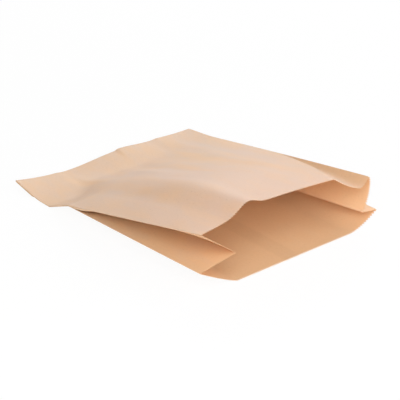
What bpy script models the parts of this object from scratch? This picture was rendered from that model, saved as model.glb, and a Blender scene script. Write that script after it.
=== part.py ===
"""Brown paper lunch bag: one gusseted tube of kraft paper, lying on its back with its mouth propped open.

The tube is two wide panels and, on each side, a gusset of two narrow panels folded in between them. Its
closed end is pressed flat, folded under and glued. From there the gussets open towards the mouth, whose cut
edge is toothed. The paper's mid-surface is a grid: its columns go once round the tube, and its rows go from
the edge of the folded flap, round the fold, and along the bag to the mouth. A Solidify gives it its thickness.

+X points to the mouth, +Y across the bag and +Z up. The origin is at the bottom centre of the bag's box.
Below, u is the distance from the closed end and v the distance across from the near side.
"""

import bpy
import numpy as np

# The flat bag
BAG_WIDTH = 0.170
BAG_LENGTH = 0.216
GUSSET_DEPTH = 0.034
FLAP_LENGTH = 0.022
SEAM_LAP = 0.014
SEAM_EDGE = 0.0003
PAPER = 0.00012
LAYER_PITCH = 0.0003
FOLD_EASE = 0.004
FLAP_EASE = 0.010
TOOTH_PITCH = 0.0020
TOOTH_DEPTH = 0.0009

# Where the near side leaves the table and opens, from the closed end
NEAR_LIFT_START = 0.045
NEAR_LIFT_END = 0.071
NEAR_LIFT = 0.0104
NEAR_LIFT_MOUTH = 0.0160
NEAR_OPENS_AT = 0.072
NEAR_MOUTH_GAP = 0.0262
NEAR_STRIP = 0.036
NEAR_STRIP_POWER = 1.15

# The far side, which opens almost from the closed end
FAR_END_HEIGHT = 0.0013
FAR_MOUTH_HEIGHT = 0.0396
FAR_MOUTH_GAP = 0.0280
FAR_GAP_POWER = 1.2
FAR_STRIP = 0.028
FAR_STRIP_POWER = 1.6
FAR_GUSSET_PUSH = 0.0165
FAR_GUSSET_BOW = 0.0040
BOW_POWER = 0.6

# How far the propped mouth draws each crease in from the flat bag's sides
NEAR_TOP_DRAW = 0.0057
NEAR_BOTTOM_DRAW = 0.0040
FAR_TOP_DRAW = 0.0118
FAR_BOTTOM_DRAW = 0.0020
DRAW_POWER = 1.5

# The top panel: a crown along the middle, a hump near the mouth, and a ridge to a folded-down far facet
CROWN_START = 0.026
CROWN_BEFORE_START = -0.008
CROWN_BACK = 0.112
CROWN_BACK_HEIGHT = 0.032
CROWN_FRONT = 0.164
CROWN_FRONT_HEIGHT = 0.0464
CROWN_MOUTH = 0.220
CROWN_MOUTH_HEIGHT = 0.051
CROWN_FALL_POWER = 1.6
CROWN_FOOT = 0.007
CROWN_SHOULDER = 0.041
CROWN_FAR = 0.060
HUMP_PLACE = 0.043
HUMP_HEIGHT = 0.0053
HUMP_WIDTH = 0.0105
RIDGE_START = 0.112
RIDGE_MOUTH = 0.123
RIDGE_RISE = 0.0047
VALLEY_DEPTH = 0.0085
VALLEY_SHARE = 0.80
EASE = 0.0012

# The closed end, which curls up a little from the table
TIP_CURL = 0.0042
TIP_CURL_WIDTH = 0.034
TIP_CURL_LENGTH = 0.024
TIP_CURL_POWER = 1.5
END_WAVE = 0.0041
END_WAVE_START = 0.045
END_WAVE_CREST = 0.100
END_WAVE_FALL = 0.65
END_WAVE_LENGTH = 0.042

# The share of each gusset's opening that lies below its fold
NEAR_FOLD_SHARE = 0.19
FAR_FOLD_SHARE = 0.08
OPEN_BLEND = 0.006

# Faces
ARC_STEPS = 3
FOLD_STEPS = 4
FLAP_ROWS = 3
ROW_SPACING = 0.0125
MOUTH_BAND = 0.0045
SIDE_COLUMNS = 4
MIDDLE_COLUMNS = 4
SHARP_ANGLE = np.radians(35.0)


def smooth(x):
    """0 below 0, 1 above 1, and an S-curve between."""
    x = np.clip(x, 0.0, 1.0)
    return x * x * (3.0 - 2.0 * x)


def eased_above(low, high):
    """The higher of two surfaces, rounded where they meet."""
    return low + EASE * np.logaddexp(0.0, (high - low) / EASE)


def draw(u, at_mouth):
    """How far a crease has moved in at u: nothing at the closed end, and most at the mouth."""
    return at_mouth * np.clip(u / BAG_LENGTH, 0.0, None) ** DRAW_POWER


def side_lines(u):
    """The places across the bag of the near and far creases, bottom and top."""
    return {
        "near_bottom": draw(u, NEAR_BOTTOM_DRAW),
        "near_top": draw(u, NEAR_TOP_DRAW),
        "far_bottom": BAG_WIDTH - draw(u, FAR_BOTTOM_DRAW),
        "far_top": BAG_WIDTH - draw(u, FAR_TOP_DRAW),
    }


def on_gusset(v):
    """1 over the folded gussets and 0 between them, with a short slope beside each inner fold."""
    near = 1.0 - smooth((v - GUSSET_DEPTH) / FOLD_EASE)
    far = smooth((v - BAG_WIDTH + GUSSET_DEPTH) / FOLD_EASE + 1.0)
    return near + far


def flap_stack(v):
    """The height of the folded flap's layers: two panels, and two more on each side where the gussets are."""
    return LAYER_PITCH * (2.0 + 2.0 * on_gusset(v))


def near_lift(u):
    """The near bottom crease's height: on the table, then up, then slowly higher to the mouth."""
    first = NEAR_LIFT * np.clip((u - NEAR_LIFT_START) / (NEAR_LIFT_END - NEAR_LIFT_START), 0.0, 1.0)
    more = (NEAR_LIFT_MOUTH - NEAR_LIFT) * np.clip((u - NEAR_LIFT_END) / (BAG_LENGTH - NEAR_LIFT_END), 0.0, None)
    return first + more


def far_top_height(u):
    """The far top crease's height, which grows evenly from the closed end."""
    return FAR_END_HEIGHT + (FAR_MOUTH_HEIGHT - FAR_END_HEIGHT) * u / BAG_LENGTH


def far_gap(u):
    """The opening of the far gusset at u."""
    return FAR_MOUTH_GAP * (u / BAG_LENGTH) ** FAR_GAP_POWER


def bottom_height(u, v):
    """The bottom panel: flat on the table, lifted along both sides, and curled up at the closed end."""
    lines = side_lines(u)
    near_share = (NEAR_STRIP - v) / (NEAR_STRIP - lines["near_bottom"])
    near = near_lift(u) * np.clip(near_share, 0.0, 1.0) ** NEAR_STRIP_POWER
    far_edge = far_top_height(u) - far_gap(u) - 3.0 * LAYER_PITCH
    far_start = BAG_WIDTH - FAR_STRIP
    far_share = (v - far_start) / (lines["far_bottom"] - far_start)
    far = far_edge * np.clip(far_share, 0.0, 1.0) ** FAR_STRIP_POWER
    tip_across = np.clip(1.0 - v / TIP_CURL_WIDTH, 0.0, 1.0) ** TIP_CURL_POWER
    tip = TIP_CURL * tip_across * np.clip(1.0 - u / TIP_CURL_LENGTH, 0.0, 1.0)
    wave_rise = smooth((v - END_WAVE_START) / (END_WAVE_CREST - END_WAVE_START))
    wave_fall = 1.0 - END_WAVE_FALL * smooth((v - END_WAVE_CREST) / (BAG_WIDTH - END_WAVE_CREST))
    wave = END_WAVE * wave_rise * wave_fall * (1.0 - smooth(u / END_WAVE_LENGTH))
    over_flap = flap_stack(v) * (1.0 - smooth((u - FLAP_LENGTH) / FLAP_EASE))
    return near + far + tip + wave + over_flap


def crown(u):
    """The height of the top panel's middle, as guide heights joined by a smooth curve."""
    places = np.array([0.0, CROWN_START, CROWN_BACK, CROWN_FRONT, CROWN_MOUTH])
    heights = np.array([CROWN_BEFORE_START, 0.0, CROWN_BACK_HEIGHT, CROWN_FRONT_HEIGHT, CROWN_MOUTH_HEIGHT])
    return cubic_through(places, heights, u)


def cubic_through(places, values, at):
    """A monotone cubic through the given values, with each slope the harmonic mean of its neighbours'."""
    steps = np.diff(values) / np.diff(places)
    inner = np.where(steps[:-1] * steps[1:] > 0.0, 2.0 * steps[:-1] * steps[1:] / (steps[:-1] + steps[1:]), 0.0)
    slopes = np.concatenate([steps[:1], inner, steps[-1:]])
    at = np.asarray(at, float)
    i = np.clip(np.searchsorted(places, at) - 1, 0, len(places) - 2)
    span = places[i + 1] - places[i]
    t = (at - places[i]) / span
    return (
        values[i] * (1.0 + 2.0 * t) * (1.0 - t) ** 2
        + slopes[i] * span * t * (1.0 - t) ** 2
        + values[i + 1] * t * t * (3.0 - 2.0 * t)
        + slopes[i + 1] * span * t * t * (t - 1.0)
    )


def top_height(u, v):
    """The top panel: pressed on the layers below at the closed end, and propped up towards the mouth."""
    lines = side_lines(u)
    far_edge = lines["far_top"]
    near_gap = NEAR_MOUTH_GAP * (u - NEAR_OPENS_AT) / (BAG_LENGTH - NEAR_OPENS_AT)
    near_crease = bottom_height(u, lines["near_bottom"]) + 3.0 * LAYER_PITCH + near_gap
    far_crease = far_top_height(u)
    after = np.clip((u - RIDGE_START) / (BAG_LENGTH - RIDGE_START), 0.0, None)
    ridge = far_edge - (BAG_WIDTH - FAR_TOP_DRAW - RIDGE_MOUTH) * after
    across = np.minimum(v, ridge)
    rise = smooth((across - CROWN_FOOT) / (CROWN_SHOULDER - CROWN_FOOT))
    fall = np.clip((across - CROWN_FAR) / (far_edge - CROWN_FAR), 0.0, None) ** CROWN_FALL_POWER
    middle = crown(u) + (far_crease + RIDGE_RISE * after - crown(u)) * fall
    height = near_crease + (middle - near_crease) * rise
    height = height + HUMP_HEIGHT * after * np.exp(-(((across - HUMP_PLACE) / HUMP_WIDTH) ** 2))
    over = np.clip((v - ridge) / np.maximum(far_edge - ridge, 1e-6), 0.0, 1.0)
    dip = np.minimum(over / VALLEY_SHARE, (1.0 - over) / (1.0 - VALLEY_SHARE))
    height = height + (far_crease - height) * over - VALLEY_DEPTH * after * dip
    pressed = bottom_height(u, v) + LAYER_PITCH * (1.0 + 2.0 * on_gusset(v))
    return eased_above(pressed, height)


def gusset(u, side):
    """The end points of a gusset's two panels at u: its bottom crease, inner fold and top crease."""
    lines = side_lines(u)
    bottom_v = lines[side + "_bottom"]
    top_v = lines[side + "_top"]
    bottom_z = bottom_height(u, bottom_v)
    top_z = top_height(u, top_v)
    gap = np.maximum(top_z - bottom_z - 3.0 * LAYER_PITCH, 0.0)
    share = NEAR_FOLD_SHARE if side == "near" else FAR_FOLD_SHARE
    inward = 1.0 if side == "near" else -1.0
    rise_below = share * gap
    rise_above = (1.0 - share) * gap
    below = bottom_v + inward * np.sqrt(np.maximum(GUSSET_DEPTH**2 - rise_below**2, 0.0))
    above = top_v + inward * np.sqrt(np.maximum(GUSSET_DEPTH**2 - rise_above**2, 0.0))
    fold_v = 0.5 * (below + above)
    if side == "far":
        fold_v = fold_v + draw(u, FAR_GUSSET_PUSH)
    return bottom_v, bottom_z, fold_v, bottom_z + LAYER_PITCH + rise_below, top_v, top_z, smooth(gap / OPEN_BLEND)


def gusset_panel(u, t, side, upper):
    """A point of a gusset panel, t from 0 at its outer crease to 1 at the inner fold.

    Closed, it lies on the layers below it. Open, it is straight from crease to fold, and the far upper one
    bows outwards.
    """
    bottom_v, bottom_z, fold_v, fold_z, top_v, top_z, opened = gusset(u, side)
    layer = 2.0 if upper else 1.0
    flat_v = (top_v if upper else bottom_v) * (1.0 - t) + fold_v * t
    flat_z = bottom_height(u, flat_v) + layer * LAYER_PITCH
    edge_z = top_z - LAYER_PITCH if upper else bottom_z + LAYER_PITCH
    inner_z = fold_z + (LAYER_PITCH if upper else 0.0)
    open_z = edge_z * (1.0 - t) + inner_z * t
    bow = FAR_GUSSET_BOW if upper and side == "far" else 0.0
    open_v = flat_v + draw(u, bow) * np.sin(np.pi * t) ** BOW_POWER
    return flat_v + (open_v - flat_v) * opened, flat_z + (open_z - flat_z) * opened


def panel_point(u, panel, t):
    """The place across the bag and the height of a point on a panel, t from 0 to 1 in the loop's direction."""
    lines = side_lines(u)
    if panel == "bottom":
        v = lines["far_bottom"] + (lines["near_bottom"] - lines["far_bottom"]) * t
        return v, bottom_height(u, v)
    if panel == "top":
        v = lines["near_top"] + (lines["far_top"] - lines["near_top"]) * t
        return v, top_height(u, v)
    side, level = panel.split("_")
    outward = (side == "near") == (level == "upper")
    return gusset_panel(u, 1.0 - t if outward else t, side, level == "upper")


LOOP = ["bottom", "near_lower", "near_upper", "top", "far_upper", "far_lower"]
BACKWARD = ["bottom", "near_upper", "far_upper"]


def flat_place(panel, t):
    """The place across the flat bag of a point on a panel, by which the teeth of all layers line up."""
    spans = {
        "bottom": (BAG_WIDTH, 0.0),
        "near_lower": (0.0, GUSSET_DEPTH),
        "near_upper": (GUSSET_DEPTH, 0.0),
        "top": (0.0, BAG_WIDTH),
        "far_upper": (BAG_WIDTH, BAG_WIDTH - GUSSET_DEPTH),
        "far_lower": (BAG_WIDTH - GUSSET_DEPTH, BAG_WIDTH),
    }
    start, end = spans[panel]
    return start + (end - start) * t


def across_stations():
    """The places across the flat bag that both wide panels have columns at, close where the paper bends."""
    middle = 0.5 * BAG_WIDTH
    lap = 0.5 * SEAM_LAP
    side = np.linspace(0.0, GUSSET_DEPTH, SIDE_COLUMNS + 1)
    step = [GUSSET_DEPTH + FOLD_EASE]
    between = np.linspace(GUSSET_DEPTH + FOLD_EASE, middle - lap - SEAM_EDGE, MIDDLE_COLUMNS + 1)[1:]
    seam = [middle - lap + SEAM_EDGE]
    half = np.concatenate([side, step, between, seam])
    return np.concatenate([half, BAG_WIDTH - half[::-1]])


def panel_columns(panel):
    """The shares of a panel's width at which its columns lie, in the loop's direction."""
    if panel == "bottom":
        return 1.0 - across_stations()[::-1] / BAG_WIDTH
    if panel == "top":
        extra = [HUMP_PLACE, CROWN_SHOULDER + 2.0 * HUMP_WIDTH, BAG_WIDTH - HUMP_PLACE]
        return np.sort(np.concatenate([across_stations(), extra])) / BAG_WIDTH
    return np.linspace(0.0, 1.0, SIDE_COLUMNS + 1)


def round_loop():
    """The loop's columns in order, each a panel and share, or a crease and angle between two panels."""
    columns = []
    for index, panel in enumerate(LOOP):
        columns += [(panel, float(t)) for t in panel_columns(panel)]
        after = LOOP[(index + 1) % len(LOOP)]
        columns += [((panel, after), np.pi * step / ARC_STEPS) for step in range(1, ARC_STEPS)]
    return columns


def loop_point(u, column):
    """The place across and height of a column at u. A crease is a half turn from one panel's edge to the next."""
    where, t = column
    if isinstance(where, str):
        return panel_point(u, where, t)
    before, after = where
    v0, z0 = panel_point(u, before, 1.0)
    v1, z1 = panel_point(u, after, 0.0)
    half_v, half_z = 0.5 * (v1 - v0), 0.5 * (z1 - z0)
    inner_fold = before.split("_")[0] == after.split("_")[0]
    turn = -1.0 if inner_fold else 1.0
    v = 0.5 * (v0 + v1) - half_v * np.cos(t) - turn * half_z * np.sin(t)
    z = 0.5 * (z0 + z1) - half_z * np.cos(t) + turn * half_v * np.sin(t)
    return v, z


def mouth_ring(columns):
    """The mouth's own columns: evenly spaced roots between the teeth, and the creases' columns as they are."""
    ring = []
    for where, t in columns:
        if not isinstance(where, str) or t == 1.0:
            ring.append((where, t))
        elif t == 0.0:
            width = abs(flat_place(where, 1.0) - flat_place(where, 0.0))
            teeth = round(width / TOOTH_PITCH)
            ring += [(where, i / teeth) for i in range(teeth)]
    return ring


def ring_points(u, columns):
    """One row of points, all at the distance u from the closed end."""
    places = [loop_point(np.array(u), column) for column in columns]
    return np.array([(float(u), float(v), float(z)) for v, z in places])


def fold_height(columns, points):
    """Each point's height above the axis that the closed end is folded about."""
    return points[:, 2] - (bottom_height(points[:, 0], points[:, 1]) - 0.5 * LAYER_PITCH)


def row_places():
    """The distances from the closed end of the rows above the fold. The flap's rows lie under the first ones."""
    over_flap = np.linspace(0.0, FLAP_LENGTH, FLAP_ROWS + 1)
    step = FLAP_LENGTH + FLAP_EASE * np.array([0.5, 1.0])
    last = BAG_LENGTH - MOUTH_BAND
    count = int(np.ceil((last - step[-1]) / ROW_SPACING))
    return over_flap, np.concatenate([step, np.linspace(step[-1], last, count + 1)[1:]])


def build_rows(columns):
    """All the full rows, from the flap's cut edge, round the fold, and along the bag."""
    over_flap, beyond = row_places()
    at_end = ring_points(0.0, columns)
    height = fold_height(columns, at_end)
    rows = []
    for distance in over_flap[:0:-1]:
        under = at_end.copy()
        under[:, 0] = distance
        under[:, 2] = bottom_height(under[:, 0], under[:, 1]) - 0.5 * LAYER_PITCH - height
        rows.append(under)
    for step in range(FOLD_STEPS):
        angle = np.pi * (1.0 - step / FOLD_STEPS)
        turned = at_end.copy()
        turned[:, 0] = -height * np.sin(angle)
        turned[:, 2] += height * (np.cos(angle) - 1.0)
        rows.append(turned)
    for u in np.concatenate([over_flap, beyond]):
        rows.append(ring_points(u, columns))
    return rows


def grid_faces(columns, row_count):
    """Two triangles for each cell, whose diagonals run alike in every layer, so that no layer cuts another."""
    width = len(columns)
    faces = []
    for row in range(row_count - 1):
        under = row < FLAP_ROWS
        for j in range(width):
            a, b = row * width + j, row * width + (j + 1) % width
            c, d = b + width, a + width
            backwards = columns[j][0] in BACKWARD
            faces += [(a, b, c), (a, c, d)] if backwards == under else [(a, b, d), (b, c, d)]
    return faces


def mouth_faces(columns, ring, base, first):
    """The strip between the last full row and the mouth's finer row: at each step, along the row that lags."""
    faces = []
    width = len(columns)
    for index, panel in enumerate(LOOP):
        coarse = [j for j, c in enumerate(columns) if c[0] == panel]
        fine = [k for k, c in enumerate(ring) if c[0] == panel]
        i = k = 0
        while i < len(coarse) - 1 or k < len(fine) - 1:
            next_coarse = columns[coarse[i + 1]][1] if i < len(coarse) - 1 else 2.0
            next_fine = ring[fine[k + 1]][1] if k < len(fine) - 1 else 2.0
            if next_coarse < next_fine:
                faces.append((base + coarse[i], base + coarse[i + 1], first + fine[k]))
                i += 1
            else:
                faces.append((base + coarse[i], first + fine[k + 1], first + fine[k]))
                k += 1
        for step in range(ARC_STEPS):
            j, k = coarse[-1] + step, fine[-1] + step
            after_j, after_k = (j + 1) % width, (k + 1) % len(ring)
            faces += [(base + j, base + after_j, first + k), (base + after_j, first + after_k, first + k)]
    return faces


def sheet_mesh():
    """The paper's mid-surface, and for each of its vertices whether it lies on the glued lap."""
    columns = round_loop()
    rows = build_rows(columns)
    ring = mouth_ring(columns)
    roots = ring_points(BAG_LENGTH, ring)
    base = (len(rows) - 1) * len(columns)
    first = len(rows) * len(columns)
    faces = grid_faces(columns, len(rows)) + mouth_faces(columns, ring, base, first)
    tips, tip_columns = [], []
    for k, (where, t) in enumerate(ring):
        if isinstance(where, str) and t < 1.0:
            between = (where, 0.5 * (t + ring[k + 1][1]))
            faces.append((first + k, first + k + 1, first + len(ring) + len(tips)))
            tips.append(ring_points(BAG_LENGTH + TOOTH_DEPTH, [between])[0])
            tip_columns.append(between)
    points = np.concatenate(rows + [roots, np.array(tips)])
    everywhere = columns * len(rows) + ring + tip_columns
    return points, faces, np.array([on_lap(column) for column in everywhere])


def on_lap(column):
    """Whether a column lies where the sheet's two edges overlap, along the middle of the bottom panel."""
    if column[0] != "bottom":
        return False
    return abs(flat_place(*column) - 0.5 * BAG_WIDTH) < 0.5 * SEAM_LAP


def kraft_material():
    """Unbleached kraft paper: pale tan, matt."""
    material = bpy.data.materials.new("kraft_paper")
    material.use_nodes = True
    shader = material.node_tree.nodes["Principled BSDF"]
    shader.inputs["Base Color"].default_value = (0.72, 0.50, 0.34, 1.0)
    shader.inputs["Roughness"].default_value = 0.85
    shader.inputs["Metallic"].default_value = 0.0
    return material


def add_bag(collection):
    """The sheet with its thickness, doubled on the glued lap, standing on z = 0 and centred on its box."""
    points, faces, lap = sheet_mesh()
    low, high = points.min(axis=0), points.max(axis=0)
    half = np.where(lap, PAPER, 0.5 * PAPER)
    points -= np.array([0.5 * (low[0] + high[0]), 0.5 * (low[1] + high[1]), (points[:, 2] - half).min()])
    mesh = bpy.data.meshes.new("paper_bag")
    mesh.from_pydata(points.tolist(), [], faces)
    mesh.validate()
    bag = bpy.data.objects.new("paper_bag", mesh)
    collection.objects.link(bag)
    group = bag.vertex_groups.new(name="glued_lap")
    group.add([int(i) for i in np.flatnonzero(lap)], 1.0, "REPLACE")
    solidify = bag.modifiers.new("paper_thickness", "SOLIDIFY")
    solidify.thickness = 2.0 * PAPER
    solidify.offset = 0.0
    solidify.vertex_group = "glued_lap"
    solidify.thickness_vertex_group = 0.5
    mesh.materials.append(kraft_material())
    mesh.shade_smooth()
    mesh.set_sharp_from_angle(angle=SHARP_ANGLE)
    return bag


def main():
    for obj in list(bpy.data.objects):
        bpy.data.objects.remove(obj, do_unlink=True)
    collection = bpy.data.collections.new("brown_paper_lunch_bag")
    bpy.context.scene.collection.children.link(collection)
    add_bag(collection)


main()
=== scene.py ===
"""Looks of the brown paper lunch bag: the folded sheet in fine detail, its paper, the light and the camera.

The sheet is the CAD bag's own form on a finer grid, with the soft folds, waves and teeth of the real paper.
Below, u is the distance from the closed end and v the distance across from the near side, both in metres.
"""

import math

import bpy
import numpy as np
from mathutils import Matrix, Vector


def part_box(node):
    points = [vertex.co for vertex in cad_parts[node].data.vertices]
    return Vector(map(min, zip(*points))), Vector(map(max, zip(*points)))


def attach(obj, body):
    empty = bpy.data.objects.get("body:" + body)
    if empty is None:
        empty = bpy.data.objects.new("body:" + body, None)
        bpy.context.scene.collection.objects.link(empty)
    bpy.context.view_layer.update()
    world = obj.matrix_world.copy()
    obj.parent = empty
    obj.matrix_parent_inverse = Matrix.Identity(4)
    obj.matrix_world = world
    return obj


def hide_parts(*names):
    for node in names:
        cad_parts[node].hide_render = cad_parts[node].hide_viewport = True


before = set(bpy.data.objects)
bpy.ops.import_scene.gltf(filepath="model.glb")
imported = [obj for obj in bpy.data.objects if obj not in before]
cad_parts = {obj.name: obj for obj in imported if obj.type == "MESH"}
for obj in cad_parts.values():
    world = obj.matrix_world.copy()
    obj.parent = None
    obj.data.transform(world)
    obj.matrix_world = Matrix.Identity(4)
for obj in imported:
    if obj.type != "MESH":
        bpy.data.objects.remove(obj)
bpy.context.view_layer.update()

# The flat bag, as in the CAD part but for the layers' pitch and ease, the seam's edge and deeper teeth
BAG_WIDTH = 0.170
BAG_LENGTH = 0.216
GUSSET_DEPTH = 0.034
FLAP_LENGTH = 0.022
SEAM_LAP = 0.014
SEAM_EDGE = 0.0004
PAPER = 0.00012
LAYER_PITCH = 0.00022
SHUT_GUSSET = 3.0 * LAYER_PITCH
FOLD_EASE = 0.004
LAYER_EASE = 0.009
FLAP_EASE = 0.010
TOOTH_PITCH = 0.0020
TOOTH_DEPTH = 0.0018

# Where the near side leaves the table and opens, from the closed end
NEAR_LIFT_START = 0.045
NEAR_LIFT_END = 0.071
NEAR_LIFT = 0.0104
NEAR_LIFT_MOUTH = 0.0160
NEAR_OPENS_AT = 0.072
NEAR_MOUTH_GAP = 0.0273
NEAR_STRIP = 0.036
NEAR_STRIP_POWER = 1.15

# The far side, which opens almost from the closed end
FAR_END_HEIGHT = 0.0013
FAR_MOUTH_HEIGHT = 0.0396
FAR_MOUTH_GAP = 0.0280
FAR_GAP_POWER = 1.2
FAR_STRIP = 0.028
FAR_STRIP_POWER = 1.6
FAR_GUSSET_PUSH = 0.0180
FAR_GUSSET_BOW = 0.0030
BOW_POWER = 0.6

# How far the propped mouth draws each crease in from the flat bag's sides
NEAR_TOP_DRAW = 0.0045
NEAR_BOTTOM_DRAW = 0.0040
FAR_TOP_DRAW = 0.0118
FAR_BOTTOM_DRAW = 0.0020
DRAW_POWER = 1.5

# The top panel: a crown along the middle, a hump near the mouth, and a ridge to a folded-down far facet
CROWN_START = 0.026
CROWN_BEFORE_START = -0.008
CROWN_BACK = 0.112
CROWN_BACK_HEIGHT = 0.032
CROWN_FRONT = 0.164
CROWN_FRONT_HEIGHT = 0.0464
CROWN_MOUTH = 0.220
CROWN_MOUTH_HEIGHT = 0.0519
CROWN_FALL_POWER = 1.6
CROWN_FOOT = 0.023
CROWN_SHOULDER = 0.0535
CROWN_STRAIGHT = 0.58
CROWN_FAR = 0.060
HUMP_PLACE = 0.0436
HUMP_HEIGHT = 0.0051
HUMP_WIDTH = 0.0097
RIDGE_START = 0.112
RIDGE_MOUTH = 0.123
RIDGE_RISE = 0.0047
VALLEY_DEPTH = 0.0082
VALLEY_SHARE = 0.77
VALLEY_POWER = 1.6
EASE = 0.0012
NARROWEST_FACET = 1e-6

# The closed end, which curls up a little from the table
TIP_CURL = 0.0042
TIP_CURL_WIDTH = 0.034
TIP_CURL_LENGTH = 0.024
TIP_CURL_POWER = 1.5
END_WAVE = 0.0041
END_WAVE_START = 0.045
END_WAVE_CREST = 0.100
END_WAVE_FALL = 0.65
END_WAVE_LENGTH = 0.042

# The share of each gusset's opening that lies below its fold
NEAR_FOLD_SHARE = 0.19
FAR_FOLD_SHARE = 0.08
OPEN_BLEND = 0.006

# A small step in the closed end's edge, which fades along the bag
STEP_PLACE = 0.0920
STEP_WIDTH = 0.0040
STEP_HEIGHT = 0.0011
STEP_FALL = 0.026
STEP_LENGTH = 0.018

# Soft folds that handling left in the top panel: where the crest starts and ends, as (u, v), how far its
# middle bows across the bag, the fold's half width, and its height, which is negative for a valley
SOFT_FOLDS = [
    ((-0.004, 0.141), (0.082, 0.138), 0.0030, 0.0060, 0.00055),
    ((0.048, 0.140), (0.182, 0.113), -0.0040, 0.0075, 0.00085),
    ((0.010, 0.098), (0.150, 0.072), -0.0020, 0.0075, -0.00075),
    ((0.004, 0.085), (0.120, 0.062), 0.0010, 0.0060, 0.00045),
    ((0.004, 0.040), (0.062, 0.053), 0.0020, 0.0050, 0.00040),
    ((0.092, 0.036), (0.205, 0.044), -0.0030, 0.0055, 0.00060),
    ((0.150, 0.030), (0.206, 0.032), 0.0000, 0.0050, -0.00045),
    ((0.120, 0.092), (0.214, 0.094), 0.0050, 0.0080, 0.00050),
    ((0.030, 0.118), (0.110, 0.104), 0.0000, 0.0070, -0.00040),
]
BAND_FADE = 0.30

# Painted sheen on the top panel: bands painted paler as a highlight (above 0) or left warm, without the
# painted sheen (below 0), each band given by its start, end, bow, half width and change, as the folds are
PAINTED_SHEEN_BANDS = [
    ((0.018, 0.137), (0.190, 0.117), -0.0120, 0.0052, -0.75),
    ((0.055, 0.107), (0.165, 0.076), -0.0070, 0.0048, -0.50),
    ((0.078, 0.041), (0.184, 0.031), 0.0000, 0.0085, -0.25),
    ((0.010, 0.069), (0.058, 0.064), 0.0035, 0.0050, -0.45),
    ((0.006, 0.034), (0.046, 0.046), 0.0000, 0.0050, -0.50),
    ((0.018, 0.165), (0.090, 0.161), 0.0000, 0.0040, -0.35),
    ((0.000, 0.066), (0.205, 0.072), 0.0000, 0.0110, 0.45),
    ((0.004, 0.149), (0.175, 0.136), 0.0040, 0.0060, 0.50),
    ((0.060, 0.030), (0.172, 0.018), 0.0000, 0.0060, 0.25),
    ((0.080, 0.176), (0.290, 0.150), 0.0000, 0.0120, -0.60),
]

# The share of the pale tone, which is painted sheen, on the top panel, how much more it is at the mouth,
# where across the bag that is most and how far it spreads, and the share on all other paper
SHEEN_START = 0.52
SHEEN_MOUTH = 0.45
SHEEN_MIDDLE = 0.070
SHEEN_SPREAD = 0.055
TONE_ELSEWHERE = 0.02

# Slow waves in the sheet, each a wavelength along and across the bag, a phase and a share of the wave height
WAVE_HEIGHT = 0.00010
WAVES = [
    (0.047, 0.131, 0.4, 1.0),
    (-0.190, 0.031, 1.9, 0.7),
    (0.023, 0.027, 4.1, 0.4),
    (0.083, -0.041, 2.7, 0.8),
]
WAVE_ROOM = 0.0030

# The grid: two columns to a tooth, rows somewhat further apart, and the steps round each fold
ROW_PITCH = 0.0028
FLAP_ROWS = 6
ARC_STEPS = 4
FOLD_STEPS = 6
CREASE_WIDTH = 0.0013

# Paper colours: two tones that are blended, for the smoother outside and the duller inside; the pale one
# paints sheen too
OUTSIDE_PALE_AND_SHEEN = (0.750, 0.600, 0.460, 1.0)
OUTSIDE_WARM = (0.825, 0.590, 0.350, 1.0)
INSIDE_PALE_AND_SHEEN = (0.820, 0.630, 0.405, 1.0)
INSIDE_WARM = (0.800, 0.580, 0.345, 1.0)
OUTSIDE_ROUGH = (0.50, 0.64)
OUTSIDE_GLOSS = 0.55
INSIDE_ROUGH = (0.62, 0.80)
INSIDE_GLOSS = 0.4
WORN = (0.80, 0.62, 0.46, 1.0)
FLECK = (0.33, 0.19, 0.10, 1.0)
THROUGH = (0.92, 0.50, 0.22, 1.0)
THROUGH_SHARE = 0.25

# Fibres: layers as turn in radians, size across and along in metres, and weight
FIBRE_LAYERS = [
    (0.14, 0.00022, 0.0030, 0.45),
    (-0.22, 0.00026, 0.0034, 0.35),
    (1.30, 0.00030, 0.0022, 0.20),
]
FIBRE_DETAIL = 1.0
STRAND_WIDTH = 0.07
STRAND_DEPTH = 0.05
STRAND_RELIEF = 0.8
FLECK_CELL = (0.0012, 0.0042, 1.0)
FLECK_TURN = 0.35
FLECK_SHARE = 0.10
FLECK_CORE = 0.06
FLECK_EDGE = 0.22
FLECK_DEPTH = 0.35

# Clouds in the pulp: each noise is a turn, sizes in metres across and along the sheet, and detail
DRIFT_NOISE = (0.1, 0.011, 0.030, 2.0)
DRIFT_RANGE = (0.36, 0.64)
DRIFT_SHARE = 0.16
FORMATION_NOISE = (0.0, 0.0016, 0.0024, 3.0)
FORMATION_DEPTH = 0.10
WEAR_NOISE = (0.0, 0.002, 0.002, 2.0)
WEAR_RANGE = (0.35, 0.65)
WEAR_SHARE = 0.5
WEAR_DULLNESS = 0.5
LAP_DEPTH = 0.05
BUMP_STRENGTH = 0.5
BUMP_DISTANCE = 0.00005

# Light: each lamp's name, place, size and power
LIGHTS = [
    ("behind", (-1.11, 0.92, 0.70), 1.2, 14.0),
    ("far_side", (0.70, 1.30, 0.40), 1.0, 9.0),
    ("front", (0.95, -0.78, 0.85), 1.2, 17.5),
    ("low_front", (0.45, -1.45, 0.30), 1.0, 4.0),
    ("mouth_side", (1.50, 0.10, 0.35), 1.2, 17.0),
]
WORLD_LEVEL = 0.20
FLOOR_GLOW = 0.93
FLOOR_COLOUR = (0.97, 0.97, 0.97, 1.0)
FLOOR_ROUGH = 0.9
FLOOR_HALF = 4.0

# The photograph's view, refitted from the bag's creases
CAMERA_AZIMUTH = 50.567
CAMERA_ELEVATION = 25.811
CAMERA_DISTANCE = 0.8724
CAMERA_AIM = Vector((0.0300, -0.0169, 0.0201))
CAMERA_LENS = 110.0
SENSOR_WIDTH = 36.0
CAMERA_NEAREST = 0.01


def smooth(x):
    """0 below 0, 1 above 1, and 3x² − 2x³ between."""
    x = np.clip(x, 0.0, 1.0)
    return x * x * (3.0 - 2.0 * x)


def eased_above(low, high):
    """The higher of two surfaces, rounded where they meet: low + e ln(1 + exp((high − low) / e))."""
    return low + EASE * np.logaddexp(0.0, (high - low) / EASE)


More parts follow.
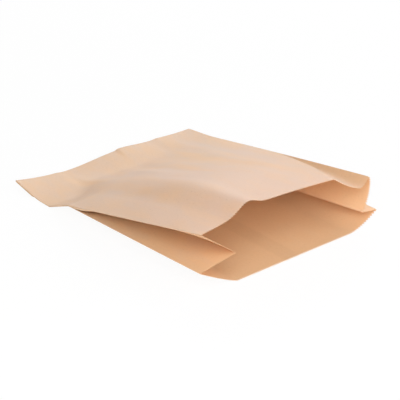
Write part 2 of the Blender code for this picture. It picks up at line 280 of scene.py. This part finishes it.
def draw(u, at_mouth):
    """How far a crease has moved in at u: at_mouth times (u / length) to the draw power."""
    return at_mouth * np.clip(u / BAG_LENGTH, 0.0, None) ** DRAW_POWER


def side_lines(u):
    """The places across the bag of the near and far creases, bottom and top."""
    return {
        "near_bottom": draw(u, NEAR_BOTTOM_DRAW),
        "near_top": draw(u, NEAR_TOP_DRAW),
        "far_bottom": BAG_WIDTH - draw(u, FAR_BOTTOM_DRAW),
        "far_top": BAG_WIDTH - draw(u, FAR_TOP_DRAW),
    }


def on_gusset(v):
    """1 over the folded gussets and 0 between them, with a short slope beside each inner fold."""
    near = 1.0 - smooth((v - GUSSET_DEPTH) / LAYER_EASE)
    far = smooth((v - BAG_WIDTH + GUSSET_DEPTH) / LAYER_EASE + 1.0)
    return near + far


def flap_stack(v):
    """The height of the folded flap's layers: two panels, and two more on each side where the gussets are."""
    return LAYER_PITCH * (2.0 + 2.0 * on_gusset(v))


def near_lift(u):
    """The near bottom crease's height: on the table, then up, then slowly higher to the mouth."""
    up = np.clip((u - NEAR_LIFT_START) / (NEAR_LIFT_END - NEAR_LIFT_START), 0.0, 1.0)
    onwards = np.clip((u - NEAR_LIFT_END) / (BAG_LENGTH - NEAR_LIFT_END), 0.0, None)
    return NEAR_LIFT * up + (NEAR_LIFT_MOUTH - NEAR_LIFT) * onwards


def far_top_height(u):
    """The far top crease's height, which grows evenly from the closed end."""
    return FAR_END_HEIGHT + (FAR_MOUTH_HEIGHT - FAR_END_HEIGHT) * u / BAG_LENGTH


def far_gap(u):
    """The opening of the far gusset at u."""
    return FAR_MOUTH_GAP * (np.clip(u, 0.0, None) / BAG_LENGTH) ** FAR_GAP_POWER


def bottom_height(u, v):
    """The bottom panel: flat on the table, lifted along both sides, and curled up at the closed end."""
    lines = side_lines(u)
    near_share = (NEAR_STRIP - v) / (NEAR_STRIP - lines["near_bottom"])
    near = near_lift(u) * np.clip(near_share, 0.0, 1.0) ** NEAR_STRIP_POWER
    far_edge = far_top_height(u) - far_gap(u) - SHUT_GUSSET
    far_start = BAG_WIDTH - FAR_STRIP
    far_share = (v - far_start) / (lines["far_bottom"] - far_start)
    far = far_edge * np.clip(far_share, 0.0, 1.0) ** FAR_STRIP_POWER
    tip_across = np.clip(1.0 - v / TIP_CURL_WIDTH, 0.0, 1.0) ** TIP_CURL_POWER
    tip = TIP_CURL * tip_across * np.clip(1.0 - u / TIP_CURL_LENGTH, 0.0, 1.0)
    wave_rise = smooth((v - END_WAVE_START) / (END_WAVE_CREST - END_WAVE_START))
    wave_fall = 1.0 - END_WAVE_FALL * smooth((v - END_WAVE_CREST) / (BAG_WIDTH - END_WAVE_CREST))
    wave = END_WAVE * wave_rise * wave_fall * (1.0 - smooth(u / END_WAVE_LENGTH))
    step_rise = smooth((v - STEP_PLACE) / STEP_WIDTH)
    step_fall = 1.0 - smooth((v - STEP_PLACE - STEP_WIDTH) / STEP_FALL)
    step = STEP_HEIGHT * step_rise * step_fall * (1.0 - smooth(u / STEP_LENGTH))
    over_flap = flap_stack(v) * (1.0 - smooth((u - FLAP_LENGTH) / FLAP_EASE))
    return near + far + tip + wave + step + over_flap


def soft_bands(bands, u, v):
    """The sum of bands, each height exp(-((v - crest) / half width)^2), faded in and out along u."""
    total = 0.0
    for (start_u, start_v), (end_u, end_v), bow, half_width, height in bands:
        t = np.clip((u - start_u) / (end_u - start_u), 0.0, 1.0)
        crest = start_v + (end_v - start_v) * t + 4.0 * bow * t * (1.0 - t)
        fade = smooth(t / BAND_FADE) * smooth((1.0 - t) / BAND_FADE)
        total = total + height * fade * np.exp(-(((v - crest) / half_width) ** 2))
    return total


def painted_sheen(u, v):
    """The painted sheen on the top panel, 0 to 1: a painted highlight, more towards the middle of the mouth,
    and changed by the bands.
    """
    to_mouth = smooth(u / BAG_LENGTH) * np.exp(-(((v - SHEEN_MIDDLE) / SHEEN_SPREAD) ** 2))
    return np.clip(SHEEN_START + SHEEN_MOUTH * to_mouth + soft_bands(PAINTED_SHEEN_BANDS, u, v), 0.0, 1.0)


def slow_waves(u, v):
    """A few sine waves of different length and direction, added up."""
    total = 0.0
    for along, across, phase, share in WAVES:
        total = total + share * np.sin(2.0 * np.pi * (u / along + v / across) + phase)
    return WAVE_HEIGHT * total


def cubic_through(places, values, at):
    """A monotone cubic through the given values, with each slope the harmonic mean of its neighbours'."""
    steps = np.diff(values) / np.diff(places)
    before, after = steps[:-1], steps[1:]
    inner = np.where(before * after > 0.0, 2.0 * before * after / (before + after), 0.0)
    slopes = np.concatenate([steps[:1], inner, steps[-1:]])
    i = np.clip(np.searchsorted(places, at) - 1, 0, len(places) - 2)
    span = places[i + 1] - places[i]
    t = (at - places[i]) / span
    return (
        values[i] * (1.0 + 2.0 * t) * (1.0 - t) ** 2
        + slopes[i] * span * t * (1.0 - t) ** 2
        + values[i + 1] * t * t * (3.0 - 2.0 * t)
        + slopes[i + 1] * span * t * t * (t - 1.0)
    )


def crown(u):
    """The height of the top panel's middle, as guide heights joined by a smooth curve."""
    places = np.array([0.0, CROWN_START, CROWN_BACK, CROWN_FRONT, CROWN_MOUTH])
    heights = [CROWN_BEFORE_START, 0.0, CROWN_BACK_HEIGHT, CROWN_FRONT_HEIGHT, CROWN_MOUTH_HEIGHT]
    return cubic_through(places, np.array(heights), u)


def top_height(u, v):
    """The top panel: pressed on the layers below at the closed end, and propped up towards the mouth.

    From the near crease it rises by a share of a quarter sine and the rest of a smooth step. Past the ridge
    it dips below the straight line to the far crease by 1 - |x|^p, with x from -1 at the ridge over 0 in the
    valley to 1 at the far crease.
    """
    lines = side_lines(u)
    far_edge = lines["far_top"]
    near_gap = NEAR_MOUTH_GAP * (u - NEAR_OPENS_AT) / (BAG_LENGTH - NEAR_OPENS_AT)
    near_crease = bottom_height(u, lines["near_bottom"]) + SHUT_GUSSET + near_gap
    far_crease = far_top_height(u)
    after = np.clip((u - RIDGE_START) / (BAG_LENGTH - RIDGE_START), 0.0, None)
    ridge = far_edge - (BAG_WIDTH - FAR_TOP_DRAW - RIDGE_MOUTH) * after
    across = np.minimum(v, ridge)
    quarter = np.clip((across - lines["near_top"]) / (CROWN_SHOULDER - lines["near_top"]), 0.0, 1.0)
    rise = CROWN_STRAIGHT * np.sin(0.5 * np.pi * quarter)
    rise = rise + (1.0 - CROWN_STRAIGHT) * smooth((across - CROWN_FOOT) / (CROWN_SHOULDER - CROWN_FOOT))
    fall = np.clip((across - CROWN_FAR) / (far_edge - CROWN_FAR), 0.0, None) ** CROWN_FALL_POWER
    middle = crown(u) + (far_crease + RIDGE_RISE * after - crown(u)) * fall
    height = near_crease + (middle - near_crease) * rise
    height = height + HUMP_HEIGHT * after * np.exp(-(((across - HUMP_PLACE) / HUMP_WIDTH) ** 2))
    over = np.clip((v - ridge) / np.maximum(far_edge - ridge, NARROWEST_FACET), 0.0, 1.0)
    past_valley = over - VALLEY_SHARE
    from_valley = np.maximum(-past_valley / VALLEY_SHARE, past_valley / (1.0 - VALLEY_SHARE))
    dip = np.where((over > 0.0) & (over < 1.0), 1.0 - from_valley**VALLEY_POWER, 0.0)
    height = height + (far_crease - height) * over - VALLEY_DEPTH * after * dip
    pressed = bottom_height(u, v) + LAYER_PITCH * (1.0 + 2.0 * on_gusset(v))
    free = smooth((height - pressed) / WAVE_ROOM)
    folds = soft_bands(SOFT_FOLDS, u, v)
    from_crease = smooth(np.minimum(v - lines["near_top"], far_edge - v) / FOLD_EASE)
    lifted = np.maximum(folds, 0.0) + np.minimum(folds, 0.0) * free + slow_waves(u, v) * free
    return eased_above(pressed, height) + lifted * from_crease


def gusset(u, side):
    """A gusset at u: its bottom crease, inner fold and top crease, and how far it is open, 0 to 1."""
    lines = side_lines(u)
    bottom_v = lines[side + "_bottom"]
    top_v = lines[side + "_top"]
    bottom_z = bottom_height(u, bottom_v)
    top_z = top_height(u, top_v)
    gap = np.maximum(top_z - bottom_z - SHUT_GUSSET, 0.0)
    share = NEAR_FOLD_SHARE if side == "near" else FAR_FOLD_SHARE
    inward = 1.0 if side == "near" else -1.0
    rise_below = share * gap
    rise_above = (1.0 - share) * gap
    below = bottom_v + inward * np.sqrt(np.maximum(GUSSET_DEPTH**2 - rise_below**2, 0.0))
    above = top_v + inward * np.sqrt(np.maximum(GUSSET_DEPTH**2 - rise_above**2, 0.0))
    fold_v = 0.5 * (below + above)
    if side == "far":
        fold_v = fold_v + draw(u, FAR_GUSSET_PUSH)
    fold_z = bottom_z + LAYER_PITCH + rise_below
    return bottom_v, bottom_z, fold_v, fold_z, top_v, top_z, smooth(gap / OPEN_BLEND)


def gusset_panel(u, t, side, upper):
    """A point of a gusset panel, t from 0 at its outer crease to 1 at the inner fold.

    Closed, it lies on the layers below it. Open, it is straight from crease to fold, and the far upper one
    bows outwards by a sine to the bow power.
    """
    bottom_v, bottom_z, fold_v, fold_z, top_v, top_z, opened = gusset(u, side)
    layer = 2.0 if upper else 1.0
    flat_v = (top_v if upper else bottom_v) * (1.0 - t) + fold_v * t
    flat_z = bottom_height(u, flat_v) + layer * LAYER_PITCH
    edge_z = top_z - LAYER_PITCH if upper else bottom_z + LAYER_PITCH
    inner_z = fold_z + (LAYER_PITCH if upper else 0.0)
    open_z = edge_z * (1.0 - t) + inner_z * t
    bow = FAR_GUSSET_BOW if upper and side == "far" else 0.0
    open_v = flat_v + draw(u, bow) * np.sin(np.pi * t) ** BOW_POWER
    return flat_v + (open_v - flat_v) * opened, flat_z + (open_z - flat_z) * opened


def panel_point(u, panel, t):
    """The place across the bag and the height of points on a panel, t from 0 to 1 in the loop's direction."""
    lines = side_lines(u)
    if panel == "bottom":
        v = lines["far_bottom"] + (lines["near_bottom"] - lines["far_bottom"]) * t
        return v, bottom_height(u, v)
    if panel == "top":
        v = lines["near_top"] + (lines["far_top"] - lines["near_top"]) * t
        return v, top_height(u, v)
    side, level = panel.split("_")
    outward = (side == "near") == (level == "upper")
    return gusset_panel(u, 1.0 - t if outward else t, side, level == "upper")


# The sheet goes once round the tube: each panel with its flat width
LOOP = [
    ("bottom", BAG_WIDTH),
    ("near_lower", GUSSET_DEPTH),
    ("near_upper", GUSSET_DEPTH),
    ("top", BAG_WIDTH),
    ("far_upper", GUSSET_DEPTH),
    ("far_lower", GUSSET_DEPTH),
]
LOOP_WIDTH = sum(width for _, width in LOOP)


def panel_places(width):
    """Distances across a panel, two steps to a tooth."""
    return np.linspace(0.0, width, 2 * round(width / TOOTH_PITCH) + 1)


def crease_points(u, before, after):
    """The half turn from one panel's edge to the next: a half circle, out at a crease and in at a fold."""
    angle = np.pi * np.arange(1, ARC_STEPS)[None, :] / ARC_STEPS
    v0, z0 = panel_point(u, before, 1.0)
    v1, z1 = panel_point(u, after, 0.0)
    half_v, half_z = 0.5 * (v1 - v0), 0.5 * (z1 - z0)
    turn = -1.0 if before.split("_")[0] == after.split("_")[0] else 1.0
    v = 0.5 * (v0 + v1) - half_v * np.cos(angle) - turn * half_z * np.sin(angle)
    z = 0.5 * (z0 + z1) - half_z * np.cos(angle) + turn * half_v * np.sin(angle)
    return v, z


def loop_rows(u):
    """Whole rows of points: v and z arrays with a row for each u and a column for each place on the loop."""
    u = np.asarray(u, float)[:, None]
    across, up = [], []
    for index, (panel, width) in enumerate(LOOP):
        v, z = panel_point(u, panel, panel_places(width)[None, :] / width)
        across.append(v)
        up.append(z)
        v, z = crease_points(u, panel, LOOP[(index + 1) % len(LOOP)][0])
        across.append(v)
        up.append(z)
    return np.concatenate(across, axis=1), np.concatenate(up, axis=1)


def column_facts():
    """For each column: its distance round the flat sheet, its distance to the nearest crease, its share of a
    tooth (0 at a root, 1 at a tip), how much of it lies on the glued lap, whether it is a panel's edge, and
    whether it is on the top panel."""
    facts = []
    start = 0.0
    for panel, width in LOOP:
        place = panel_places(width)
        to_crease = np.minimum(place, width - place)
        tooth = 1.0 - np.abs(1.0 - 2.0 * np.mod(place / TOOTH_PITCH, 1.0))
        overlap = np.clip((0.5 * SEAM_LAP - np.abs(place - 0.5 * width)) / SEAM_EDGE + 0.5, 0.0, 1.0)
        lap = overlap if panel == "bottom" else np.zeros(len(place))
        on_top = np.full(len(place), float(panel == "top"))
        facts.append(np.stack([start + place, to_crease, tooth, lap, to_crease == 0.0, on_top]))
        start += width
        facts.append(np.tile([[start], [0.0], [0.0], [0.0], [0.0], [0.0]], ARC_STEPS - 1))
    return np.concatenate(facts, axis=1)


def sheet_points():
    """The mid-surface as (rows, columns, 3): the flap under the bag, the fold at the closed end, and the bag.

    The flap and the fold turn each layer by half a circle about an axis just under the bag's end. The last
    row carries the teeth, and so does the flap's cut edge.
    """
    tooth = column_facts()[2]
    at_end_v, at_end_z = (a[0] for a in loop_rows([0.0]))
    above_axis = at_end_z - bottom_height(0.0, at_end_v) + 0.5 * LAYER_PITCH
    rows = []
    for share in np.linspace(1.0, 0.0, FLAP_ROWS + 1)[:-1]:
        x = FLAP_LENGTH * share + TOOTH_DEPTH * tooth * (share == 1.0)
        z = bottom_height(x, at_end_v) - 0.5 * LAYER_PITCH - above_axis
        rows.append(np.stack([x, at_end_v, z], axis=1))
    for angle in np.pi * (1.0 - np.arange(FOLD_STEPS) / FOLD_STEPS):
        x = -above_axis * np.sin(angle)
        z = at_end_z + above_axis * (np.cos(angle) - 1.0)
        rows.append(np.stack([x, at_end_v, z], axis=1))
    u = np.linspace(0.0, BAG_LENGTH, round(BAG_LENGTH / ROW_PITCH) + 1)
    v, z = loop_rows(u)
    tip_v, tip_z = (a[0] for a in loop_rows([BAG_LENGTH + TOOTH_DEPTH]))
    x = np.repeat(u[:, None], v.shape[1], axis=1)
    x[-1] += TOOTH_DEPTH * tooth
    v[-1] += (tip_v - v[-1]) * tooth
    z[-1] += (tip_z - z[-1]) * tooth
    return np.concatenate([np.array(rows), np.stack([x, v, z], axis=2)])


def grid_quads(row_count, column_count):
    """The corner numbers of every cell of a grid that closes on itself, facing into the bag."""
    row = np.arange(row_count - 1)[:, None]
    column = np.arange(column_count)[None, :]
    after = (column + 1) % column_count
    corners = [row * column_count + column, row * column_count + after,
               (row + 1) * column_count + after, (row + 1) * column_count + column]
    return np.stack(corners, axis=2).reshape(-1, 4)


def seat_on_table(points, half):
    """Move the points to where the CAD bag is: the same mouth, the same middle and the same lowest height."""
    box_low, box_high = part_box("paper_bag")
    points[:, :, 0] += box_high.x - BAG_LENGTH - TOOTH_DEPTH
    points[:, :, 1] += 0.5 * (box_low.y + box_high.y) - 0.5 * BAG_WIDTH
    points[:, :, 2] += box_low.z - (points[:, :, 2] - half).min()


def write_sheet_map(mesh, points, distance):
    """The UV map "sheet": each corner's place on the flat sheet, in metres round the tube and along it."""
    steps = np.linalg.norm(np.diff(points[:, 0], axis=0), axis=1)
    along = np.concatenate([[0.0], np.cumsum(steps)])
    around = np.append(distance, LOOP_WIDTH)
    corners = np.empty((len(along) - 1, len(distance), 4, 2))
    corners[..., 0] = np.stack([around[:-1], around[1:], around[1:], around[:-1]], axis=1)[None]
    corners[..., 1] = np.stack([along[:-1], along[:-1], along[1:], along[1:]], axis=1)[:, None]
    mesh.uv_layers.new(name="sheet").data.foreach_set("uv", corners.ravel())
    return along


def mark_sharp_edges(mesh, row_count, edge_columns):
    """Sharp shading where a panel ends at a crease and round the cut edges, so that flat paper stays flat."""
    column_count = len(edge_columns)
    ends = np.empty(2 * len(mesh.edges), int)
    mesh.edges.foreach_get("vertices", ends)
    row, column = np.divmod(ends.reshape(-1, 2), column_count)
    along_crease = (column[:, 0] == column[:, 1]) & edge_columns[column[:, 0]]
    cut = (row[:, 0] == row[:, 1]) & ((row[:, 0] == 0) | (row[:, 0] == row_count - 1))
    mesh.attributes.new("sharp_edge", "BOOLEAN", "EDGE").data.foreach_set("value", along_crease | cut)


def paper_sheet(outside, inside):
    """The whole bag: the folded sheet with its thickness, twice as thick on the glued lap."""
    points = sheet_points()
    row_count, column_count, _ = points.shape
    distance, to_crease, _, lap, panel_edge, on_top = column_facts()
    # Painted sheen: on the top panel the pale tone's share stands in for the highlight on the glossy paper
    pale_and_sheen = np.where(on_top > 0.0, painted_sheen(points[:, :, 0], points[:, :, 1]), TONE_ELSEWHERE)
    seat_on_table(points, 0.5 * PAPER * (1.0 + lap))
    mesh = bpy.data.meshes.new("kraft_bag")
    mesh.from_pydata(points.reshape(-1, 3), [], grid_quads(row_count, column_count).tolist())
    mesh.shade_smooth()
    along = write_sheet_map(mesh, points, distance)
    mark_sharp_edges(mesh, row_count, panel_edge > 0.0)
    to_end_fold = np.abs(along - along[FLAP_ROWS + FOLD_STEPS // 2])
    nearest = np.minimum(to_crease[None, :], to_end_fold[:, None])
    crease = mesh.attributes.new("crease", "FLOAT", "POINT")
    crease.data.foreach_set("value", np.clip(1.0 - nearest / CREASE_WIDTH, 0.0, 1.0).ravel())
    mesh.attributes.new("lap", "FLOAT", "POINT").data.foreach_set("value", np.tile(lap, row_count))
    mesh.attributes.new("pale_and_sheen", "FLOAT", "POINT").data.foreach_set("value", pale_and_sheen.ravel())
    # The grid's faces look inward, so the first slot is the inside
    mesh.materials.append(inside)
    mesh.materials.append(outside)
    bag = bpy.data.objects.new("kraft_bag", mesh)
    bpy.context.scene.collection.objects.link(bag)
    group = bag.vertex_groups.new(name="glued_lap")
    for column in np.flatnonzero(lap > 0.0):
        line = np.arange(row_count) * column_count + column
        group.add(line.tolist(), float(lap[column]), "REPLACE")
    solidify = bag.modifiers.new("paper_thickness", "SOLIDIFY")
    solidify.thickness = 2.0 * PAPER
    solidify.offset = 0.0
    solidify.vertex_group = "glued_lap"
    solidify.thickness_vertex_group = 0.5
    solidify.material_offset = 1
    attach(bag, "root")
    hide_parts("paper_bag")


def shader_group(name, inputs, outputs):
    """A new node group with the given sockets, as (label, kind), and its input and output nodes."""
    group = bpy.data.node_groups.new(name, "ShaderNodeTree")
    for label, kind in inputs:
        group.interface.new_socket(label, in_out="INPUT", socket_type="NodeSocket" + kind)
    for label, kind in outputs:
        group.interface.new_socket(label, in_out="OUTPUT", socket_type="NodeSocket" + kind)
    return group, group.nodes.new("NodeGroupInput"), group.nodes.new("NodeGroupOutput")


def feed(tree, socket, value):
    """Link a socket to another, or set it to a plain value."""
    if isinstance(value, bpy.types.NodeSocket):
        tree.links.new(value, socket)
    else:
        socket.default_value = value


def maths(tree, operation, *values, clamp=False):
    """A Math node on sockets or numbers."""
    node = tree.nodes.new("ShaderNodeMath")
    node.operation = operation
    node.use_clamp = clamp
    for socket, value in zip(node.inputs, values):
        feed(tree, socket, value)
    return node.outputs[0]


def ramp(tree, value, low, high, to_low=0.0, to_high=1.0):
    """A smooth step from to_low at low to to_high at high."""
    node = tree.nodes.new("ShaderNodeMapRange")
    node.interpolation_type = "SMOOTHSTEP"
    labels = ("Value", "From Min", "From Max", "To Min", "To Max")
    for label, entry in zip(labels, (value, low, high, to_low, to_high)):
        feed(tree, node.inputs[label], entry)
    return node.outputs[0]


def blend(tree, share, first, second):
    """A colour between two others, on the Mix node's colour sockets."""
    node = tree.nodes.new("ShaderNodeMix")
    node.data_type = "RGBA"
    for index, value in ((0, share), (6, first), (7, second)):
        feed(tree, node.inputs[index], value)
    return node.outputs[2]


def stretched_noise(tree, place, turn, across, along, detail):
    """Noise on the flat sheet, turned by an angle, with features of a size in metres across and along."""
    mapping = tree.nodes.new("ShaderNodeMapping")
    mapping.vector_type = "TEXTURE"
    tree.links.new(place, mapping.inputs["Vector"])
    mapping.inputs["Rotation"].default_value = (0.0, 0.0, turn)
    mapping.inputs["Scale"].default_value = (across, along, 1.0)
    noise = tree.nodes.new("ShaderNodeTexNoise")
    noise.noise_dimensions = "2D"
    noise.inputs["Scale"].default_value = 1.0
    noise.inputs["Detail"].default_value = detail
    tree.links.new(mapping.outputs[0], noise.inputs["Vector"])
    return noise.outputs[0]


def fibre_strands():
    """A group that lays long fibres on the flat sheet.

    A strand is where a stretched noise passes its middle value: a smooth step down from 1 as
    |noise − 0.5| / width goes from 0 to 1. Two layers lie at small angles to the sheet's length and one
    across it. Flecks are short dark cells, kept where a cell's own random number is high.
    """
    outputs = [("Strands", "Float"), ("Flecks", "Float")]
    group, given, made = shader_group("fibre_strands", [("Sheet", "Vector")], outputs)
    total = 0.0
    for turn, across, along, weight in FIBRE_LAYERS:
        noise = stretched_noise(group, given.outputs["Sheet"], turn, across, along, FIBRE_DETAIL)
        distance = maths(group, "ABSOLUTE", maths(group, "SUBTRACT", noise, 0.5))
        strand = ramp(group, distance, 0.0, STRAND_WIDTH, weight, 0.0)
        total = maths(group, "ADD", total, strand)
    group.links.new(total, made.inputs["Strands"])
    mapping = group.nodes.new("ShaderNodeMapping")
    mapping.vector_type = "TEXTURE"
    mapping.inputs["Scale"].default_value = FLECK_CELL
    mapping.inputs["Rotation"].default_value = (0.0, 0.0, FLECK_TURN)
    group.links.new(given.outputs["Sheet"], mapping.inputs["Vector"])
    cells = group.nodes.new("ShaderNodeTexVoronoi")
    cells.voronoi_dimensions = "2D"
    cells.inputs["Scale"].default_value = 1.0
    group.links.new(mapping.outputs[0], cells.inputs["Vector"])
    chosen = group.nodes.new("ShaderNodeSeparateColor")
    group.links.new(cells.outputs["Color"], chosen.inputs[0])
    kept = ramp(group, chosen.outputs[0], 1.0 - FLECK_SHARE, 1.0)
    shape = ramp(group, cells.outputs["Distance"], FLECK_CORE, FLECK_EDGE, 1.0, 0.0)
    group.links.new(maths(group, "MULTIPLY", kept, shape), made.inputs["Flecks"])
    return group


def kraft_pulp(strands_group):
    """A group with the paper's colour, roughness and relief.

    The tone goes from warm to pale by the painted sheen, a painted highlight, and drifts over centimetres.
    Formation, the cloudiness of the pulp at 1 to 3 mm, and the strands darken and lighten it a little.
    Creases are paler and rougher where the fibres are broken, and the double paper of the lap is a shade
    darker.
    """
    inputs = [("Sheet", "Vector"), ("Crease", "Float"), ("Lap", "Float"), ("Painted Sheen", "Float"),
              ("Pale And Sheen", "Color"), ("Warm", "Color"), ("Smoothest", "Float"), ("Roughest", "Float")]
    outputs = [("Color", "Color"), ("Roughness", "Float"), ("Relief", "Float")]
    group, given, made = shader_group("kraft_pulp", inputs, outputs)
    sheet = given.outputs["Sheet"]
    fibres = group.nodes.new("ShaderNodeGroup")
    fibres.node_tree = strands_group
    group.links.new(sheet, fibres.inputs["Sheet"])
    strands, flecks = fibres.outputs["Strands"], fibres.outputs["Flecks"]
    drift = stretched_noise(group, sheet, *DRIFT_NOISE)
    formation = stretched_noise(group, sheet, *FORMATION_NOISE)
    wear_cloud = stretched_noise(group, sheet, *WEAR_NOISE)
    drifted = ramp(group, drift, *DRIFT_RANGE, -DRIFT_SHARE, DRIFT_SHARE)
    # Painted sheen: the pale share paints the top panel's highlight, with a random drift added
    share = maths(group, "ADD", given.outputs["Painted Sheen"], drifted, clamp=True)
    tone = blend(group, share, given.outputs["Warm"], given.outputs["Pale And Sheen"])
    clouded = maths(group, "MULTIPLY_ADD", formation, FORMATION_DEPTH, 1.0 - 0.5 * FORMATION_DEPTH)
    stranded = maths(group, "MULTIPLY_ADD", strands, STRAND_DEPTH, 1.0)
    lapped = maths(group, "MULTIPLY_ADD", given.outputs["Lap"], -LAP_DEPTH, 1.0)
    level = maths(group, "MULTIPLY", maths(group, "MULTIPLY", clouded, stranded), lapped)
    scale = group.nodes.new("ShaderNodeVectorMath")
    scale.operation = "SCALE"
    group.links.new(tone, scale.inputs[0])
    group.links.new(level, scale.inputs["Scale"])
    worn = maths(group, "MULTIPLY", given.outputs["Crease"], ramp(group, wear_cloud, *WEAR_RANGE))
    rubbed = blend(group, maths(group, "MULTIPLY", worn, WEAR_SHARE), scale.outputs[0], WORN)
    flecked = blend(group, maths(group, "MULTIPLY", flecks, FLECK_DEPTH), rubbed, FLECK)
    group.links.new(flecked, made.inputs["Color"])
    dull = maths(group, "ADD", formation, maths(group, "MULTIPLY", worn, WEAR_DULLNESS), clamp=True)
    span = maths(group, "SUBTRACT", given.outputs["Roughest"], given.outputs["Smoothest"])
    roughness = maths(group, "MULTIPLY_ADD", dull, span, given.outputs["Smoothest"])
    group.links.new(roughness, made.inputs["Roughness"])
    relief = maths(group, "ADD", maths(group, "MULTIPLY", strands, STRAND_RELIEF), formation)
    group.links.new(relief, made.inputs["Relief"])
    return group


def kraft_material(name, pulp_group, pale_and_sheen, warm, rough, gloss):
    """Unbleached kraft paper, thin enough to let some warm light through."""
    material = bpy.data.materials.new(name)
    material.use_nodes = True
    tree = material.node_tree
    nodes, links = tree.nodes, tree.links
    sheet = nodes.new("ShaderNodeUVMap")
    sheet.uv_map = "sheet"
    pulp = nodes.new("ShaderNodeGroup")
    pulp.node_tree = pulp_group
    links.new(sheet.outputs[0], pulp.inputs["Sheet"])
    # The pale attribute carries the painted sheen of the top panel
    for label, attribute in (("Crease", "crease"), ("Lap", "lap"), ("Painted Sheen", "pale_and_sheen")):
        value = nodes.new("ShaderNodeAttribute")
        value.attribute_name = attribute
        links.new(value.outputs["Fac"], pulp.inputs[label])
    own = {"Pale And Sheen": pale_and_sheen, "Warm": warm, "Smoothest": rough[0], "Roughest": rough[1]}
    for label, value in own.items():
        pulp.inputs[label].default_value = value
    bump = nodes.new("ShaderNodeBump")
    bump.inputs["Strength"].default_value = BUMP_STRENGTH
    bump.inputs["Distance"].default_value = BUMP_DISTANCE
    links.new(pulp.outputs["Relief"], bump.inputs["Height"])
    paper = nodes["Principled BSDF"]
    paper.inputs["Specular IOR Level"].default_value = gloss
    links.new(pulp.outputs["Color"], paper.inputs["Base Color"])
    links.new(pulp.outputs["Roughness"], paper.inputs["Roughness"])
    links.new(bump.outputs[0], paper.inputs["Normal"])
    through = nodes.new("ShaderNodeBsdfTranslucent")
    through.inputs["Color"].default_value = THROUGH
    mix = nodes.new("ShaderNodeMixShader")
    mix.inputs[0].default_value = THROUGH_SHARE
    links.new(paper.outputs[0], mix.inputs[1])
    links.new(through.outputs[0], mix.inputs[2])
    links.new(mix.outputs[0], nodes["Material Output"].inputs["Surface"])
    return material


def light_path_share(tree, level, *rays):
    """A level where the ray is one of the given kinds, and 0 elsewhere."""
    path = tree.nodes.new("ShaderNodeLightPath")
    seen = path.outputs[rays[0]]
    for ray in rays[1:]:
        seen = maths(tree, "MAXIMUM", seen, path.outputs[ray])
    return maths(tree, "MULTIPLY", seen, level)


def floor():
    """A plain pale floor that looks white to the camera and still keeps the bag's shadow."""
    mesh = bpy.data.meshes.new("floor")
    corners = [(-FLOOR_HALF, -FLOOR_HALF, 0.0), (FLOOR_HALF, -FLOOR_HALF, 0.0),
               (FLOOR_HALF, FLOOR_HALF, 0.0), (-FLOOR_HALF, FLOOR_HALF, 0.0)]
    mesh.from_pydata(corners, [], [(0, 1, 2, 3)])
    plane = bpy.data.objects.new("floor", mesh)
    bpy.context.scene.collection.objects.link(plane)
    material = bpy.data.materials.new("pale_floor")
    material.use_nodes = True
    tree = material.node_tree
    shader = tree.nodes["Principled BSDF"]
    shader.inputs["Base Color"].default_value = FLOOR_COLOUR
    shader.inputs["Roughness"].default_value = FLOOR_ROUGH
    shader.inputs["Specular IOR Level"].default_value = 0.0
    glow = tree.nodes.new("ShaderNodeEmission")
    mix = tree.nodes.new("ShaderNodeMixShader")
    seen = light_path_share(tree, FLOOR_GLOW, "Is Camera Ray", "Is Glossy Ray")
    tree.links.new(seen, mix.inputs[0])
    tree.links.new(shader.outputs[0], mix.inputs[1])
    tree.links.new(glow.outputs[0], mix.inputs[2])
    tree.links.new(mix.outputs[0], tree.nodes["Material Output"].inputs["Surface"])
    mesh.materials.append(material)


def area_light(name, place, size, energy):
    """A square soft light at a place, aimed at the bag."""
    lamp = bpy.data.lights.new(name, "AREA")
    lamp.size = size
    lamp.energy = energy
    obj = bpy.data.objects.new(name, lamp)
    bpy.context.scene.collection.objects.link(obj)
    obj.location = place
    obj.rotation_mode = "QUATERNION"
    obj.rotation_quaternion = (-Vector(place)).to_track_quat("-Z", "Y")


def studio():
    """Soft lights all round the bag, in an even white surround."""
    for name, place, size, energy in LIGHTS:
        area_light(name, place, size, energy)
    world = bpy.data.worlds.new("studio")
    bpy.context.scene.world = world
    world.use_nodes = True
    tree = world.node_tree
    background = tree.nodes["Background"]
    background.inputs["Color"].default_value = (1.0, 1.0, 1.0, 1.0)
    rays = ("Is Camera Ray", "Is Glossy Ray", "Is Transmission Ray")
    extra = light_path_share(tree, 1.0 - WORLD_LEVEL, *rays)
    tree.links.new(maths(tree, "ADD", extra, WORLD_LEVEL), background.inputs["Strength"])


def camera():
    """The photograph's camera."""
    data = bpy.data.cameras.new("camera")
    data.lens = CAMERA_LENS
    data.sensor_width = SENSOR_WIDTH
    data.clip_start = CAMERA_NEAREST
    obj = bpy.data.objects.new("camera", data)
    bpy.context.scene.collection.objects.link(obj)
    azimuth, elevation = math.radians(CAMERA_AZIMUTH), math.radians(CAMERA_ELEVATION)
    level = math.cos(elevation)
    back = Vector((math.sin(azimuth) * level, -math.cos(azimuth) * level, math.sin(elevation)))
    obj.location = CAMERA_AIM + CAMERA_DISTANCE * back
    obj.rotation_mode = "QUATERNION"
    obj.rotation_quaternion = (-back).to_track_quat("-Z", "Y")
    bpy.context.scene.camera = obj


bpy.context.scene.view_settings.view_transform = "Standard"
camera()
studio()
floor()
pulp = kraft_pulp(fibre_strands())
outside_look = (OUTSIDE_PALE_AND_SHEEN, OUTSIDE_WARM, OUTSIDE_ROUGH, OUTSIDE_GLOSS)
inside_look = (INSIDE_PALE_AND_SHEEN, INSIDE_WARM, INSIDE_ROUGH, INSIDE_GLOSS)
kraft_outside = kraft_material("kraft_outside", pulp, *outside_look)
kraft_inside = kraft_material("kraft_inside", pulp, *inside_look)
paper_sheet(kraft_outside, kraft_inside)
